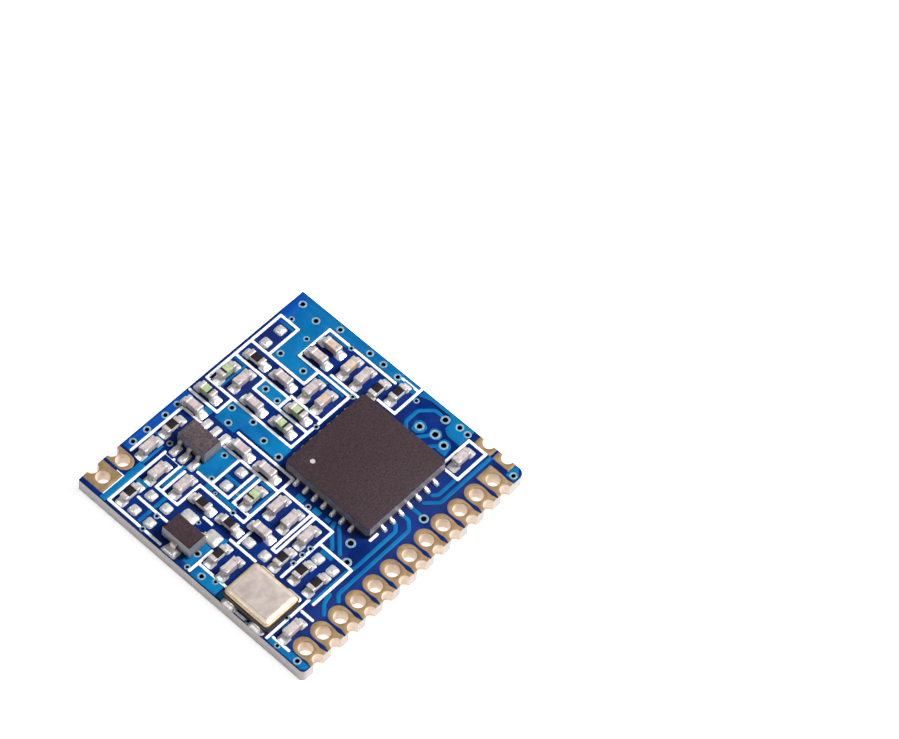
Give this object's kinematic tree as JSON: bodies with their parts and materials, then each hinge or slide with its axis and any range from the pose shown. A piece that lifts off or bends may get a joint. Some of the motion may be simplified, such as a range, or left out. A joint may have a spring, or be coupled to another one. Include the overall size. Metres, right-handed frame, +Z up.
{
  "type": "castellated radio transceiver module",
  "caption": "Small blue circuit board with plated edge pads that carries a flat transceiver chip, a crystal can, a radio switch, a regulator and chip parts",
  "frame": {"origin": "centre of the underside, on the plane the module is soldered to", "axes": "+Z up out of the component side, +X along the row of edge pads, +Y away from that row towards the antenna pads"},
  "size_m": [0.0166, 0.0162, 0.0019],
  "materials": {
    "laminate": "sawn glass-epoxy edge",
    "solder_mask": "glossy dark blue mask",
    "masked_copper": "glossy blue mask over copper",
    "white_print": "white print",
    "plated_pad": "thin gold over nickel",
    "solder": "bright reflowed solder",
    "mould_compound": "fine matt moulding",
    "tinned_lead": "matt tin",
    "crystal_ceramic": "dark fired ceramic",
    "seal_ring": "gold-flashed seal ring",
    "can_lid": "satin metal lid",
    "capacitor": "pale ceramic with tinned ends",
    "resistor": "dark film with tinned ends",
    "inductor": "pale green ceramic with tinned ends"
  },
  "bodies": {
    "root": {"antenna_pads": "plated_pad", "bottom_mask": "solder_mask", "capacitor_1": "capacitor", "capacitor_10": "capacitor", "capacitor_11": "capacitor", "capacitor_12": "capacitor", "capacitor_13": "capacitor", "capacitor_14": "capacitor", "capacitor_15": "capacitor", "capacitor_16": "capacitor", "capacitor_17": "capacitor", "capacitor_18": "capacitor", "capacitor_19": "capacitor", "capacitor_2": "capacitor", "capacitor_20": "capacitor", "capacitor_21": "capacitor", "capacitor_22": "capacitor", "capacitor_3": "capacitor", "capacitor_4": "capacitor", "capacitor_5": "capacitor", "capacitor_6": "capacitor", "capacitor_7": "capacitor", "capacitor_8": "capacitor", "capacitor_9": "capacitor", "crystal_base": "crystal_ceramic", "crystal_lid": "can_lid", "crystal_rim": "seal_ring", "edge_pads": "plated_pad", "inductor_1": "inductor", "inductor_2": "inductor", "inductor_3": "inductor", "inductor_4": "inductor", "inductor_5": "inductor", "laminate": "laminate", "package_lands": "solder", "regulator_body": "mould_compound", "regulator_leads": "tinned_lead", "resistor_1": "resistor", "resistor_10": "resistor", "resistor_11": "resistor", "resistor_2": "resistor", "resistor_3": "resistor", "resistor_4": "resistor", "resistor_5": "resistor", "resistor_6": "resistor", "resistor_7": "resistor", "resistor_8": "resistor", "resistor_9": "resistor", "side_pads": "plated_pad", "solder_joints": "solder", "switch_body": "mould_compound", "switch_leads": "tinned_lead", "top_copper": "masked_copper", "top_mask": "solder_mask", "transceiver_body": "mould_compound", "transceiver_leads": "solder", "transceiver_pad": "solder", "white_print": "white_print"}
  },
  "joints": []
}
